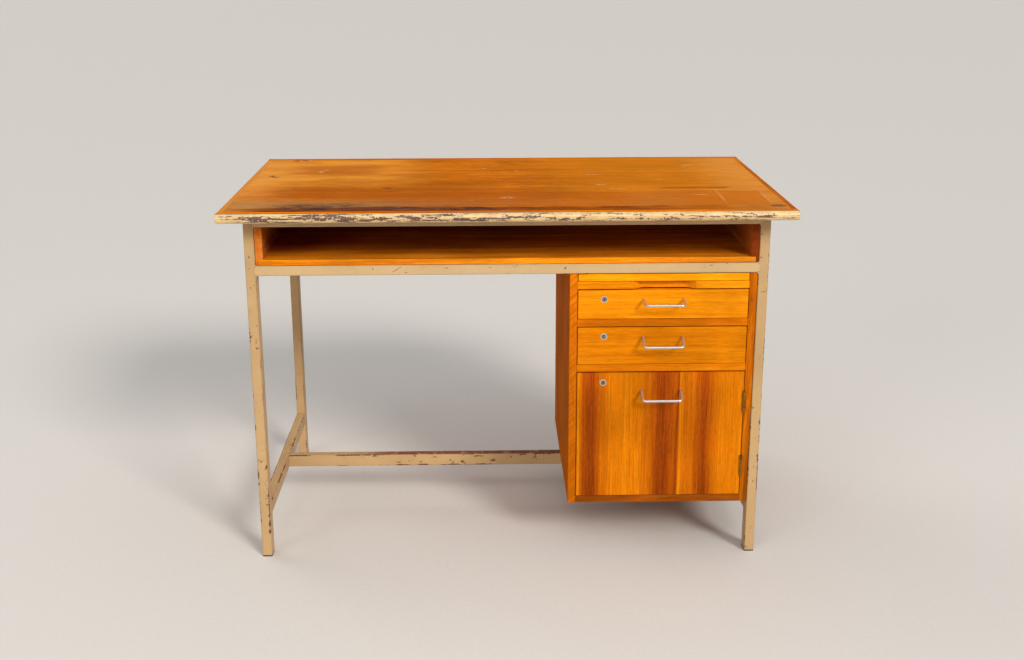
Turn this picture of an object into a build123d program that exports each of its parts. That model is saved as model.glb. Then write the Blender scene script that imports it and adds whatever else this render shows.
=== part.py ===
from build123d import *
import os

# A teacher's desk. A timber top and an open shelf are carried by a welded frame of steel tube. A pedestal
# under the right-hand end holds a pull-out writing slide, two lockable drawers and a lockable cupboard.
# Sizes are in millimetres. The desk stands on Z = 0 and faces -Y, and X = 0, Y = 0 is the middle of its plan.

# ---- driving dimensions ----

# Overall
desk_width = 1220
desk_depth = 735
desk_height = 811

# Timber top
top_thickness = 19
nosing_projection = 11
nosing_height = 20
long_lipping_width = 20
end_lipping_width = 12
front_overhang = 60  # from the nosing's root to the front faces of the legs

# Steel frame
frame_width = 1131
frame_depth = 651
leg_width = 22
leg_depth = 35
rail_height = 22  # the legs' tube, laid flat
stretcher_width = 22
stretcher_height = 30
stretcher_top = 124
stretcher_setback = 309  # front face of the long stretcher, behind the legs' front faces
lower_rail_top = 685
tube_wall = 1.6
tube_corner = 2
tip_height = 3
tip_plug_depth = 12
tip_plug_clearance = 0.1

# Shelf
shelf_floor_thickness = 13
shelf_side_thickness = 17
shelf_back_thickness = 10
shelf_setback = 2
shelf_housing = 10.5  # how far the floor is let into each side board

# Pedestal
pedestal_left = 134
panel_thickness = 17
pedestal_setback = 3
pedestal_depth = 548
rail_setback = 1  # of the cross rails and the bottom board, behind the side panels' front edges
rail_depth = 40
rail_thickness = 17
back_thickness = 8
runner_width = 20
scoop_rail_bottom = 627
upper_rail_bottom = 542
lower_rail_bottom = 438
scoop_left = 273
scoop_right = 410
scoop_slope = 19  # length of each sloping end of the scoop
scoop_depth = 15
scoop_corner = 10
stop_width = 12
stop_gap = 0.5

# Slide, drawers and door
front_thickness = 18
side_gap = 1.5
bottom_gap = 1
slide_thickness = 16
slide_length = 480
slide_travel = 330
slide_gap = 1
slide_stop_height = 8
slide_stop_clearance = 4
drawer_length = 500
drawer_side_thickness = 12
drawer_bottom_thickness = 5
drawer_bottom_raise = 8
drawer_side_clearance = 0.5
drawer_side_drop = 9  # of the sides' top edges below the top edge of the front
upper_front_top = 624.5
lower_front_top = 540
door_top = 435.5

# Handles
handle_centre = 339.5
handle_spacing = 87
handle_rod = 6
handle_projection = 33
handle_foot = 6
handle_bend = 8
handle_screw_radius = 1.9
handle_screw_grip = 4
handle_screw_head = 2.2

# Locks
lock_x = 210
lock_sleeve_radius = 7.5
lock_plug_radius = 5.5
lock_proud = 0.8
lock_rim_bevel = 0.5
lock_case_width = 32
lock_case_drop = 16  # of the case below the plug's axis
lock_case_start = 7  # behind the front face
bolt_thickness = 3.4
bolt_width = 16
bolt_clearance = 0.3
bolt_start = 11.3  # behind the front face
bolt_drop = 11  # of the bolt's lower end below the plug's axis
bolt_sink = 0.5  # of its upper end below the front's top edge, unlocked
crank_radius = 5
crank_pin_radius = 1.2
crank_clearance = 0.35
keyway_width = 1.2
keyway_length = 7
keyway_depth = 5
mortise_depth = 8
mortise_clearance = 1
running_clearance = 0.05

# Hinges
hinge_length = 49
hinge_heights = (213, 366.5)
hinge_barrel_radius = 2.75
hinge_pin_radius = 1.2
hinge_leaf_thickness = 1.1
hinge_leaf_depth = 15
hinge_knuckles = 5
knuckle_gap = 0.3
knuckle_clearance = 0.35  # between the barrels and the timber
hinge_screw_radius = 1.5
hinge_screw_head = 3
hinge_screw_length = 12
hinge_screw_offset = 14

# Wood screws through the frame
screw_radius = 2.2
screw_head_radius = 4.5
screw_head_height = 2.6
screw_bite = 10
screw_head_bevel = 1
pilot_extra = 1  # that each pilot hole runs on past its screw
top_screw_x = (-420, 0, 420)
shelf_screw_x = (-450, -150, 80)
panel_screw_z = (200, 600)
stretcher_screw_x = (220, 460)
arris = 0.8  # small bevel on timber edges

# ---- places worked out from them ----

half_width = desk_width / 2
nosing_root_y = -desk_depth / 2 + nosing_projection
rear_y = desk_depth / 2
top_under_z = desk_height - top_thickness

leg_face_y = nosing_root_y + front_overhang
frame_rear_y = leg_face_y + frame_depth
frame_outer_x = frame_width / 2
frame_inner_x = frame_outer_x - leg_width
front_leg_y = leg_face_y + leg_depth / 2
rear_leg_y = frame_rear_y - leg_depth / 2
top_rail_z = top_under_z - rail_height / 2
lower_rail_z = lower_rail_top - rail_height / 2
shelf_top_z = lower_rail_top + shelf_floor_thickness
shelf_ceiling_z = top_under_z - rail_height
stretcher_y = leg_face_y + stretcher_setback + stretcher_width / 2

panel_face_y = leg_face_y + pedestal_setback
rail_face_y = panel_face_y + rail_setback
panel_rear_y = panel_face_y + pedestal_depth
carcase_left = pedestal_left + panel_thickness
carcase_right = frame_inner_x - panel_thickness
pedestal_top_z = lower_rail_top - rail_height
cupboard_floor_z = stretcher_top + panel_thickness
front_left = carcase_left + side_gap
front_right = carcase_right - side_gap
front_rear_y = panel_face_y + front_thickness
slide_z = scoop_rail_bottom + rail_thickness + slide_gap

hinge_x = carcase_right - side_gap / 2
hinge_y = panel_face_y - hinge_barrel_radius - knuckle_clearance
crank_offset = crank_radius / 2**0.5  # of the crank pin from the plug's axis, along X and Z, at rest

os.makedirs("parts", exist_ok=True)


# ---- shared shapes ----

from_base = (Align.CENTER, Align.CENTER, Align.MIN)


def finish(piece, name):
    """Names a finished piece and writes it to its own file."""
    piece.part.label = name
    export_step(piece.part, "parts/" + name + ".step")


def block(x, y, z, mode=Mode.ADD):
    """A square-edged block between the (low, high) limits on each axis, in the part that is open."""
    limits = (x, y, z)
    with Locations(tuple((low + high) / 2 for low, high in limits)):
        return Box(*(high - low for low, high in limits), mode=mode)


def board(x, y, z):
    """A block whose long edges are eased by a small bevel."""
    made = block(x, y, z)
    chamfer(made.edges(), arris)


def tube_section(width, depth):
    """The wall of a rectangular tube, in the sketch that is open."""
    RectangleRounded(width, depth, tube_corner)
    Rectangle(width - 2 * tube_wall, depth - 2 * tube_wall, mode=Mode.SUBTRACT)


def rod(start, direction, radius, length, mode=Mode.ADD):
    """A round rod from a point along a direction, in the part that is open."""
    with Locations(Plane(origin=start, z_dir=direction)):
        return Cylinder(radius, length, align=from_base, mode=mode)


def clearance_hole(start, direction, radius, length):
    """A round hole that a shank of this radius passes through with running clearance."""
    rod(start, direction, radius + running_clearance, length, mode=Mode.SUBTRACT)


def wood_screw(head_seat, direction, length):
    """A round-headed screw whose head sits at head_seat and whose shank runs along direction."""
    backward = tuple(-value for value in direction)
    rod(head_seat, direction, screw_radius, length)
    head = rod(head_seat, backward, screw_head_radius, screw_head_height)
    chamfer(head.edges().filter_by(GeomType.CIRCLE).sort_by(Axis(head_seat, backward))[-1], screw_head_bevel)


# ---- fastener places ----

up = (0, 0, 1)
rail_screw_length = rail_height + screw_bite
top_screw_seats = [
    (x, y, top_under_z - rail_height) for x in top_screw_x for y in (front_leg_y, rear_leg_y)
]
shelf_screw_seats = [
    (x, y, lower_rail_top - rail_height) for x in shelf_screw_x for y in (front_leg_y, rear_leg_y)
]
panel_screw_seats = [(frame_outer_x, front_leg_y, z) for z in panel_screw_z]
stretcher_screw_length = stretcher_height + screw_bite
stretcher_screw_seats = [(x, stretcher_y, stretcher_top - stretcher_height) for x in stretcher_screw_x]
all_rail_screws = [(seat, up) for seat in top_screw_seats + shelf_screw_seats]
all_rail_screws += [(seat, (-1, 0, 0)) for seat in panel_screw_seats]


def rail_screw_holes():
    """Holes for every screw that goes through a rail or a leg."""
    for seat, direction in all_rail_screws:
        clearance_hole(seat, direction, screw_radius, rail_screw_length + pilot_extra)


# ---- steel frame ----

leg_places = {
    "front_left_leg": (-frame_outer_x + leg_width / 2, front_leg_y),
    "front_right_leg": (frame_outer_x - leg_width / 2, front_leg_y),
    "rear_left_leg": (-frame_outer_x + leg_width / 2, rear_leg_y),
    "rear_right_leg": (frame_outer_x - leg_width / 2, rear_leg_y),
}

for leg_name, leg_place in leg_places.items():
    with BuildPart() as leg:
        with BuildSketch(Plane.XY.offset(tip_height)):
            with Locations(leg_place):
                tube_section(leg_width, leg_depth)
        extrude(amount=top_under_z - tip_height)
        if leg_name == "front_right_leg":
            rail_screw_holes()
    finish(leg, leg_name)

with BuildPart() as leg_tips:
    with BuildSketch(Plane.XY):
        with Locations(*leg_places.values()):
            RectangleRounded(leg_width, leg_depth, tube_corner)
    extrude(amount=tip_height)
    with BuildSketch(Plane.XY.offset(tip_height)):
        with Locations(*leg_places.values()):
            plug_inset = 2 * (tube_wall + tip_plug_clearance)
            Rectangle(leg_width - plug_inset, leg_depth - plug_inset)
    extrude(amount=tip_plug_depth)
finish(leg_tips, "leg_tips")

rail_places = {
    "top_front_rail": [(front_leg_y, top_rail_z)],
    "lower_front_rail": [(front_leg_y, lower_rail_z)],
    "rear_rails": [(rear_leg_y, top_rail_z), (rear_leg_y, lower_rail_z)],
}
for rail_name, places in rail_places.items():
    with BuildPart() as rail:
        with BuildSketch(Plane.YZ.offset(-frame_inner_x)):
            with Locations(*places):
                tube_section(leg_depth, rail_height)
        extrude(amount=2 * frame_inner_x)
        rail_screw_holes()
    finish(rail, rail_name)

side_tube_x = frame_outer_x - leg_width / 2
side_tube_length = frame_depth - 2 * leg_depth
side_tube_plane = Plane.XZ.offset(-(frame_rear_y - leg_depth))
side_rail_heights = (top_under_z - stretcher_height / 2, lower_rail_top - stretcher_height / 2)

with BuildPart() as side_rails:
    with BuildSketch(side_tube_plane):
        with Locations(*((x, z) for x in (-side_tube_x, side_tube_x) for z in side_rail_heights)):
            tube_section(stretcher_width, stretcher_height)
    extrude(amount=side_tube_length)
finish(side_rails, "side_rails")

with BuildPart() as side_stretchers:
    with BuildSketch(side_tube_plane):
        with Locations(*((x, stretcher_top - stretcher_height / 2) for x in (-side_tube_x, side_tube_x))):
            tube_section(stretcher_width, stretcher_height)
    extrude(amount=side_tube_length)
finish(side_stretchers, "side_stretchers")

with BuildPart() as long_stretcher:
    with BuildSketch(Plane.YZ.offset(-frame_inner_x)):
        with Locations((stretcher_y, stretcher_top - stretcher_height / 2)):
            tube_section(stretcher_width, stretcher_height)
    extrude(amount=2 * frame_inner_x)
    for screw_seat in stretcher_screw_seats:
        clearance_hole(screw_seat, up, screw_radius, stretcher_screw_length + pilot_extra)
finish(long_stretcher, "long_stretcher")

# ---- timber top ----

top_z = (top_under_z, desk_height)
front_lipping_rear = nosing_root_y + long_lipping_width
rear_lipping_front = rear_y - long_lipping_width
end_lipping_inner = half_width - end_lipping_width

with BuildPart() as tabletop:
    block((-end_lipping_inner, end_lipping_inner), (front_lipping_rear, rear_lipping_front), top_z)
    rail_screw_holes()
finish(tabletop, "tabletop")

with BuildPart() as top_long_lippings:
    block((-half_width, half_width), (nosing_root_y, front_lipping_rear), top_z)
    rear_lipping = block((-half_width, half_width), (rear_lipping_front, rear_y), top_z)
    chamfer(rear_lipping.edges().filter_by(Axis.X).group_by(Axis.Y)[-1], arris)
    rail_screw_holes()
finish(top_long_lippings, "top_long_lippings")

with BuildPart() as top_end_lippings:
    for side in (-1, 1):
        end_x = sorted((side * end_lipping_inner, side * half_width))
        lipping = block(end_x, (front_lipping_rear, rear_lipping_front), top_z)
        chamfer(lipping.edges().filter_by(Axis.Y).group_by(Axis.X)[0 if side < 0 else -1], arris)
finish(top_end_lippings, "top_end_lippings")

nosing_radius = nosing_height / 2
nosing_flat_y = nosing_root_y - nosing_projection + nosing_radius
nosing_under_z = desk_height - nosing_height

with BuildPart() as front_nosing:
    with BuildSketch(Plane.YZ.offset(-half_width)):
        with BuildLine():
            Line((nosing_flat_y, desk_height), (nosing_root_y, desk_height))
            Line((nosing_root_y, desk_height), (nosing_root_y, nosing_under_z))
            Line((nosing_root_y, nosing_under_z), (nosing_flat_y, nosing_under_z))
            nosing_tip = (nosing_flat_y - nosing_radius, desk_height - nosing_radius)
            ThreePointArc((nosing_flat_y, nosing_under_z), nosing_tip, (nosing_flat_y, desk_height))
        make_face()
    extrude(amount=desk_width)
finish(front_nosing, "front_nosing")

# ---- open shelf ----

shelf_y = (leg_face_y + shelf_setback, frame_rear_y - shelf_setback)
shelf_floor_x = frame_inner_x - shelf_side_thickness + shelf_housing
shelf_floor_z = (lower_rail_top, shelf_top_z)
shelf_clear_x = frame_inner_x - shelf_side_thickness

with BuildPart() as shelf_floor:
    board((-shelf_floor_x, shelf_floor_x), shelf_y, shelf_floor_z)
    rail_screw_holes()
finish(shelf_floor, "shelf_floor")

with BuildPart() as shelf_sides:
    for side in (-1, 1):
        side_x = sorted((side * shelf_clear_x, side * frame_inner_x))
        board(side_x, shelf_y, (lower_rail_top, shelf_ceiling_z))
    block((-shelf_floor_x, shelf_floor_x), shelf_y, shelf_floor_z, mode=Mode.SUBTRACT)
finish(shelf_sides, "shelf_sides")

with BuildPart() as shelf_back:
    shelf_back_y = (shelf_y[1] - shelf_back_thickness, shelf_y[1])
    board((-shelf_clear_x, shelf_clear_x), shelf_back_y, (shelf_top_z, shelf_ceiling_z))
finish(shelf_back, "shelf_back")

# ---- locks: one description for the three places where a lock is fitted ----

locks = {
    "upper_drawer": {"top": upper_front_top, "axis": 604.5},
    "lower_drawer": {"top": lower_front_top, "axis": 519.7},
    "door": {"top": door_top, "axis": 413},
}
lock_case_x = (lock_x - lock_case_width / 2, lock_x + lock_case_width / 2)
lock_case_y = (panel_face_y + lock_case_start, front_rear_y)
bolt_y = (panel_face_y + bolt_start, panel_face_y + bolt_start + bolt_thickness)
bolt_chamber_y = (bolt_y[0] - bolt_clearance, bolt_y[1] + bolt_clearance)
bolt_chamber_half = bolt_width / 2 + bolt_clearance
into_front = (0, 1, 0)
sleeve_face_y = panel_face_y - lock_proud


def lock_pocket(lock):
    """The recess for a lock case and the hole for its sleeve, in the front that is open."""
    block(lock_case_x, lock_case_y, (lock["axis"] - lock_case_drop, lock["top"]), mode=Mode.SUBTRACT)
    clearance_hole((lock_x, panel_face_y, lock["axis"]), into_front, lock_sleeve_radius, front_thickness)


def bolt_mortise(rail_bottom):
    """The slot in a rail's underside that the bolt below it rises into."""
    mortise_half = bolt_chamber_half + mortise_clearance
    mortise_x = (lock_x - mortise_half, lock_x + mortise_half)
    mortise_y = (bolt_chamber_y[0] - mortise_clearance, bolt_chamber_y[1] + mortise_clearance)
    block(mortise_x, mortise_y, (rail_bottom, rail_bottom + mortise_depth), mode=Mode.SUBTRACT)


for lock_name, lock in locks.items():
    axis_z = lock["axis"]
    plug_end_y = bolt_y[0] - bolt_clearance

    with BuildPart() as lock_case:
        block(lock_case_x, lock_case_y, (axis_z - lock_case_drop, lock["top"]))
        rod((lock_x, sleeve_face_y, axis_z), into_front, lock_sleeve_radius, lock_proud + lock_case_start)
        sleeve_rim = lock_case.edges().filter_by(GeomType.CIRCLE).sort_by(Axis.Y)[0]
        chamfer(sleeve_rim, lock_rim_bevel)
        chamber_x = (lock_x - bolt_chamber_half, lock_x + bolt_chamber_half)
        chamber_z = (axis_z - bolt_drop - bolt_clearance, lock["top"])
        block(chamber_x, bolt_chamber_y, chamber_z, mode=Mode.SUBTRACT)
        clearance_hole(
            (lock_x, sleeve_face_y, axis_z), into_front, lock_plug_radius, plug_end_y - sleeve_face_y
        )
    finish(lock_case, lock_name + "_lock_case")

    with BuildPart() as lock_plug:
        rod((lock_x, sleeve_face_y, axis_z), into_front, lock_plug_radius, plug_end_y - sleeve_face_y)
        keyway_x = (lock_x - keyway_width / 2, lock_x + keyway_width / 2)
        keyway_y = (sleeve_face_y, sleeve_face_y + keyway_depth)
        keyway_z = (axis_z - keyway_length / 2, axis_z + keyway_length / 2)
        block(keyway_x, keyway_y, keyway_z, mode=Mode.SUBTRACT)
        crank_start = (lock_x + crank_offset, plug_end_y, axis_z - crank_offset)
        rod(crank_start, into_front, crank_pin_radius, bolt_clearance + bolt_thickness)
    finish(lock_plug, lock_name + "_lock_plug")

    with BuildPart() as lock_bolt:
        bolt_x = (lock_x - bolt_width / 2, lock_x + bolt_width / 2)
        block(bolt_x, bolt_y, (axis_z - bolt_drop, lock["top"] - bolt_sink))
        slot_reach = crank_pin_radius + crank_clearance
        slot_x = (lock_x + crank_offset - slot_reach, lock_x + crank_radius + slot_reach)
        slot_z = (axis_z - crank_offset - slot_reach, axis_z - crank_offset + slot_reach)
        block(slot_x, bolt_y, slot_z, mode=Mode.SUBTRACT)
    finish(lock_bolt, lock_name + "_lock_bolt")

# ---- handles: one description for the three places where a handle is fitted ----

handles = {
    "upper_drawer": {"foot": 603.5, "droop": 6},
    "lower_drawer": {"foot": 518, "droop": 15},
    "door": {"foot": 393.5, "droop": 14},
}
handle_feet_x = (handle_centre - handle_spacing / 2, handle_centre + handle_spacing / 2)
handle_screw_length = front_thickness + handle_screw_grip


def handle_screw_holes(handle):
    """Holes for the two screws that reach through a front, or up into the feet of its handle."""
    for x in handle_feet_x:
        start = (x, front_rear_y, handle["foot"])
        clearance_hole(start, (0, -1, 0), handle_screw_radius, handle_screw_length)


for handle_name, handle in handles.items():
    foot_z = handle["foot"]
    left_x, right_x = handle_feet_x
    bend_y = panel_face_y - handle_foot
    bar_y = panel_face_y - handle_projection
    bar_z = foot_z - handle["droop"]

    with BuildPart() as wire_handle:
        with BuildLine() as handle_route:
            FilletPolyline(
                (left_x, panel_face_y, foot_z),
                (left_x, bend_y, foot_z),
                (left_x, bar_y, bar_z),
                (right_x, bar_y, bar_z),
                (right_x, bend_y, foot_z),
                (right_x, panel_face_y, foot_z),
                radius=handle_bend,
            )
        with BuildSketch(Plane(origin=(left_x, panel_face_y, foot_z), z_dir=(0, -1, 0))):
            Circle(handle_rod / 2)
        sweep()
        handle_screw_holes(handle)
    finish(wire_handle, handle_name + "_handle")

    with BuildPart() as handle_screws:
        for x in handle_feet_x:
            seat = (x, front_rear_y, foot_z)
            rod(seat, (0, -1, 0), handle_screw_radius, handle_screw_length)
            rod(seat, (0, 1, 0), 2 * handle_screw_radius, handle_screw_head)
    finish(handle_screws, handle_name + "_handle_screws")

# ---- hinges ----

knuckle_pitch = hinge_length / hinge_knuckles
leaf_y = (panel_face_y + knuckle_gap, panel_face_y + hinge_leaf_depth)
leaf_screw_y = (leaf_y[0] + leaf_y[1]) / 2
leaf_limits = {
    "hinge_stile_leaves": (carcase_right, carcase_right + hinge_leaf_thickness),
    "hinge_door_leaves": (front_right - hinge_leaf_thickness, front_right),
}
leaf_screw_starts = {
    "stile_hinge_screws": (carcase_right, 1),
    "door_hinge_screws": (front_right, -1),
}
hinge_screw_heights = [
    height + offset for height in hinge_heights for offset in (-hinge_screw_offset, hinge_screw_offset)
]


def hinge_recesses(leaf_x):
    """The shallow recesses that one side's hinge leaves lie in, and the holes for their screws."""
    for height in hinge_heights:
        recess_z = (height - hinge_length / 2, height + hinge_length / 2)
        block(leaf_x, (panel_face_y, leaf_y[1]), recess_z, mode=Mode.SUBTRACT)


def hinge_screw_shape(start_x, side, extra=0.0, mode=Mode.ADD):
    """Countersunk screws, or with extra and Mode.SUBTRACT the holes that they sit in."""
    for height in hinge_screw_heights:
        start = (start_x, leaf_screw_y, height)
        inward = (side, 0, 0)
        with Locations(Plane(origin=start, z_dir=inward)):
            head, shank = hinge_screw_head + extra, hinge_screw_radius + extra
            Cone(head, shank, hinge_leaf_thickness, align=from_base, mode=mode)
        rod(start, inward, hinge_screw_radius + extra, hinge_screw_length + extra, mode=mode)


for leaf_name, leaf_x in leaf_limits.items():
    first_knuckle = 0 if leaf_name == "hinge_stile_leaves" else 1
    with BuildPart() as hinge_leaves:
        for height in hinge_heights:
            foot_z = height - hinge_length / 2
            block(leaf_x, leaf_y, (foot_z, foot_z + hinge_length))
            for number in range(first_knuckle, hinge_knuckles, 2):
                knuckle_z = foot_z + number * knuckle_pitch + knuckle_gap / 2
                knuckle_length = knuckle_pitch - knuckle_gap
                rod((hinge_x, hinge_y, knuckle_z), up, hinge_barrel_radius, knuckle_length)
                block(leaf_x, (hinge_y, leaf_y[0]), (knuckle_z, knuckle_z + knuckle_length))
            clearance_hole((hinge_x, hinge_y, foot_z), up, hinge_pin_radius, hinge_length)
        screw_start, screw_side = leaf_screw_starts[
            "stile_hinge_screws" if first_knuckle == 0 else "door_hinge_screws"
        ]
        hinge_screw_shape(screw_start, screw_side, running_clearance, Mode.SUBTRACT)
    finish(hinge_leaves, leaf_name)

with BuildPart() as hinge_pins:
    for height in hinge_heights:
        rod((hinge_x, hinge_y, height - hinge_length / 2), up, hinge_pin_radius, hinge_length)
finish(hinge_pins, "hinge_pins")

for screws_name, (screw_start, screw_side) in leaf_screw_starts.items():
    with BuildPart() as leaf_screws:
        hinge_screw_shape(screw_start, screw_side)
    finish(leaf_screws, screws_name)

# ---- pedestal carcase ----

panel_y = (panel_face_y, panel_rear_y)
panel_z = (stretcher_top, pedestal_top_z)
carcase_x = (carcase_left, carcase_right)

with BuildPart() as pedestal_left_side:
    board((pedestal_left, carcase_left), panel_y, panel_z)
finish(pedestal_left_side, "pedestal_left_side")

with BuildPart() as pedestal_right_side:
    board((carcase_right, frame_inner_x), panel_y, panel_z)
    hinge_recesses(leaf_limits["hinge_stile_leaves"])
    hinge_screw_shape(carcase_right, 1, running_clearance, Mode.SUBTRACT)
    rail_screw_holes()
finish(pedestal_right_side, "pedestal_right_side")

with BuildPart() as pedestal_bottom:
    board(carcase_x, (rail_face_y, panel_rear_y), (stretcher_top, cupboard_floor_z))
    for screw_seat in stretcher_screw_seats:
        clearance_hole(screw_seat, up, screw_radius, stretcher_screw_length + pilot_extra)
finish(pedestal_bottom, "pedestal_bottom")

with BuildPart() as pedestal_back:
    board(carcase_x, (panel_rear_y - back_thickness, panel_rear_y), (cupboard_floor_z, pedestal_top_z))
finish(pedestal_back, "pedestal_back")

rail_y = (rail_face_y, rail_face_y + rail_depth)

with BuildPart() as scoop_rail:
    board(carcase_x, rail_y, (scoop_rail_bottom, scoop_rail_bottom + rail_thickness))
    with BuildSketch(Plane.XY.offset(scoop_rail_bottom)):
        with BuildLine():
            scoop_rear_y = rail_face_y + scoop_depth
            Polyline(
                (scoop_left, rail_face_y - arris),
                (scoop_left, rail_face_y),
                (scoop_left + scoop_slope, scoop_rear_y),
                (scoop_right - scoop_slope, scoop_rear_y),
                (scoop_right, rail_face_y),
                (scoop_right, rail_face_y - arris),
                close=True,
            )
        scoop_face = make_face()
        fillet(scoop_face.vertices().group_by(Axis.Y)[-1], scoop_corner)
    extrude(amount=rail_thickness, mode=Mode.SUBTRACT)
    bolt_mortise(scoop_rail_bottom)
finish(scoop_rail, "scoop_rail")

drawer_rails = {"upper_drawer_rail": upper_rail_bottom, "lower_drawer_rail": lower_rail_bottom}
for rail_name, rail_bottom in drawer_rails.items():
    with BuildPart() as drawer_rail:
        board(carcase_x, rail_y, (rail_bottom, rail_bottom + rail_thickness))
        bolt_mortise(rail_bottom)
    finish(drawer_rail, rail_name)

with BuildPart() as pedestal_runners:
    for strip_bottom in (scoop_rail_bottom, upper_rail_bottom, lower_rail_bottom):
        strip_y = (rail_y[1], panel_rear_y - back_thickness)
        strip_z = (strip_bottom, strip_bottom + rail_thickness)
        block((carcase_left, carcase_left + runner_width), strip_y, strip_z)
        block((carcase_right - runner_width, carcase_right), strip_y, strip_z)
finish(pedestal_runners, "pedestal_runners")

with BuildPart() as door_stop:
    stop_y = (front_rear_y + stop_gap, front_rear_y + stop_gap + stop_width)
    block((carcase_left, carcase_left + stop_width), stop_y, (cupboard_floor_z, lower_rail_bottom))
finish(door_stop, "door_stop")

# ---- pull-out writing slide ----

slide_y = (panel_face_y, panel_face_y + slide_length)

with BuildPart() as writing_slide:
    board((front_left, front_right), slide_y, (slide_z, slide_z + slide_thickness))
finish(writing_slide, "writing_slide")

with BuildPart() as slide_stop:
    stop_inset = runner_width + slide_stop_clearance
    stop_x = (carcase_left + stop_inset, carcase_right - stop_inset)
    stop_start_y = rail_y[1] + slide_travel
    block(stop_x, (stop_start_y, stop_start_y + stop_width), (slide_z - slide_stop_height, slide_z))
finish(slide_stop, "slide_stop")

# ---- drawers ----

drawer_outer_left = carcase_left + side_gap + drawer_side_clearance
drawer_outer_right = carcase_right - side_gap - drawer_side_clearance
drawer_inner_x = (drawer_outer_left + drawer_side_thickness, drawer_outer_right - drawer_side_thickness)
drawer_sides_x = ((drawer_outer_left, drawer_inner_x[0]), (drawer_inner_x[1], drawer_outer_right))
groove = drawer_side_thickness / 2
drawer_bottom_x = (drawer_inner_x[0] - groove, drawer_inner_x[1] + groove)
drawer_side_y = (front_rear_y - drawer_side_thickness, panel_face_y + drawer_length)
drawer_bottom_y = (front_rear_y - groove, drawer_side_y[1])
drawer_back_y = (drawer_side_y[1] - drawer_side_thickness, drawer_side_y[1])
drawers = {
    "upper_drawer": {"bottom": upper_rail_bottom + rail_thickness, "top": upper_front_top},
    "lower_drawer": {"bottom": lower_rail_bottom + rail_thickness, "top": lower_front_top},
}

for drawer_name, drawer in drawers.items():
    side_z = (drawer["bottom"] + drawer_side_clearance, drawer["top"] - drawer_side_drop)
    panel_bottom = side_z[0] + drawer_bottom_raise
    bottom_z = (panel_bottom, panel_bottom + drawer_bottom_thickness)

    with BuildPart() as drawer_front:
        front_z = (drawer["bottom"] + bottom_gap, drawer["top"])
        board((front_left, front_right), (panel_face_y, front_rear_y), front_z)
        for side_x in drawer_sides_x:
            block(side_x, (drawer_side_y[0], front_rear_y), side_z, mode=Mode.SUBTRACT)
        block(drawer_bottom_x, (drawer_bottom_y[0], front_rear_y), bottom_z, mode=Mode.SUBTRACT)
        lock_pocket(locks[drawer_name])
        handle_screw_holes(handles[drawer_name])
    finish(drawer_front, drawer_name + "_front")

    with BuildPart() as drawer_sides:
        for side_x in drawer_sides_x:
            block(side_x, drawer_side_y, side_z)
        block(drawer_bottom_x, drawer_bottom_y, bottom_z, mode=Mode.SUBTRACT)
    finish(drawer_sides, drawer_name + "_sides")

    with BuildPart() as drawer_back:
        block(drawer_inner_x, drawer_back_y, (bottom_z[1], side_z[1]))
    finish(drawer_back, drawer_name + "_back")

    with BuildPart() as drawer_bottom:
        block(drawer_bottom_x, drawer_bottom_y, bottom_z)
    finish(drawer_bottom, drawer_name + "_bottom")

# ---- cupboard door ----

with BuildPart() as cupboard_door:
    door_z = (cupboard_floor_z + bottom_gap, door_top)
    board((front_left, front_right), (panel_face_y, front_rear_y), door_z)
    hinge_recesses(leaf_limits["hinge_door_leaves"])
    hinge_screw_shape(front_right, -1, running_clearance, Mode.SUBTRACT)
    lock_pocket(locks["door"])
    handle_screw_holes(handles["door"])
finish(cupboard_door, "cupboard_door")

# ---- screws through the frame ----

with BuildPart() as rail_screws:
    for screw_seat, screw_direction in all_rail_screws:
        wood_screw(screw_seat, screw_direction, rail_screw_length)
finish(rail_screws, "rail_screws")

with BuildPart() as stretcher_screws:
    for screw_seat in stretcher_screw_seats:
        wood_screw(screw_seat, up, stretcher_screw_length)
finish(stretcher_screws, "stretcher_screws")
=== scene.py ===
import math

import bpy
import numpy as np
from mathutils import Matrix, Vector, noise


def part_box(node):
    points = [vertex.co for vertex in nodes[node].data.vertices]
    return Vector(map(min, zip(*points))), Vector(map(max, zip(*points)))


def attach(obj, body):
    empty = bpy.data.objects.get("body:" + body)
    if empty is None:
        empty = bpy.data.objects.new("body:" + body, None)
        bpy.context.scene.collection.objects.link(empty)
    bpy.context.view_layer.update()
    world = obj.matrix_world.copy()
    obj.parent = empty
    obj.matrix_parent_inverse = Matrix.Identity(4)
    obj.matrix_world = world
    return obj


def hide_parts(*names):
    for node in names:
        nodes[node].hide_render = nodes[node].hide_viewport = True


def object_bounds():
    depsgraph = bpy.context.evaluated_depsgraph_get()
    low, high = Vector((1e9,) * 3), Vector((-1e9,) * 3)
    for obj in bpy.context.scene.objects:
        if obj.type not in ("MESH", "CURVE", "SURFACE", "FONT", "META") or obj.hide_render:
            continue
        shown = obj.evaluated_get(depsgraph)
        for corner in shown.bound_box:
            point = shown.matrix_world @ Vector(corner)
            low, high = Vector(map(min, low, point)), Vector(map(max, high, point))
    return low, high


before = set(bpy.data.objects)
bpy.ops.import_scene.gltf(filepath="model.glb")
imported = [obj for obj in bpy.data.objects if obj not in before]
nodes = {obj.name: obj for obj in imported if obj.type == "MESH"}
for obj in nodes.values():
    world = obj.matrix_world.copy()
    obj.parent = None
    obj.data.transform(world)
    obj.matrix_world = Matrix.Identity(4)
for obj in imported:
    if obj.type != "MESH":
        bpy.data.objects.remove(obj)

# Looks of the teacher desk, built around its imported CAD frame.
# X is to the right, towards the pedestal, Y is to the back and Z is up, in metres.
cad_box = [list(corner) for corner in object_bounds()]
AXES = {"X": 0, "Y": 1, "Z": 2}


# ---------------------------------------------------------------- material graphs


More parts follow.
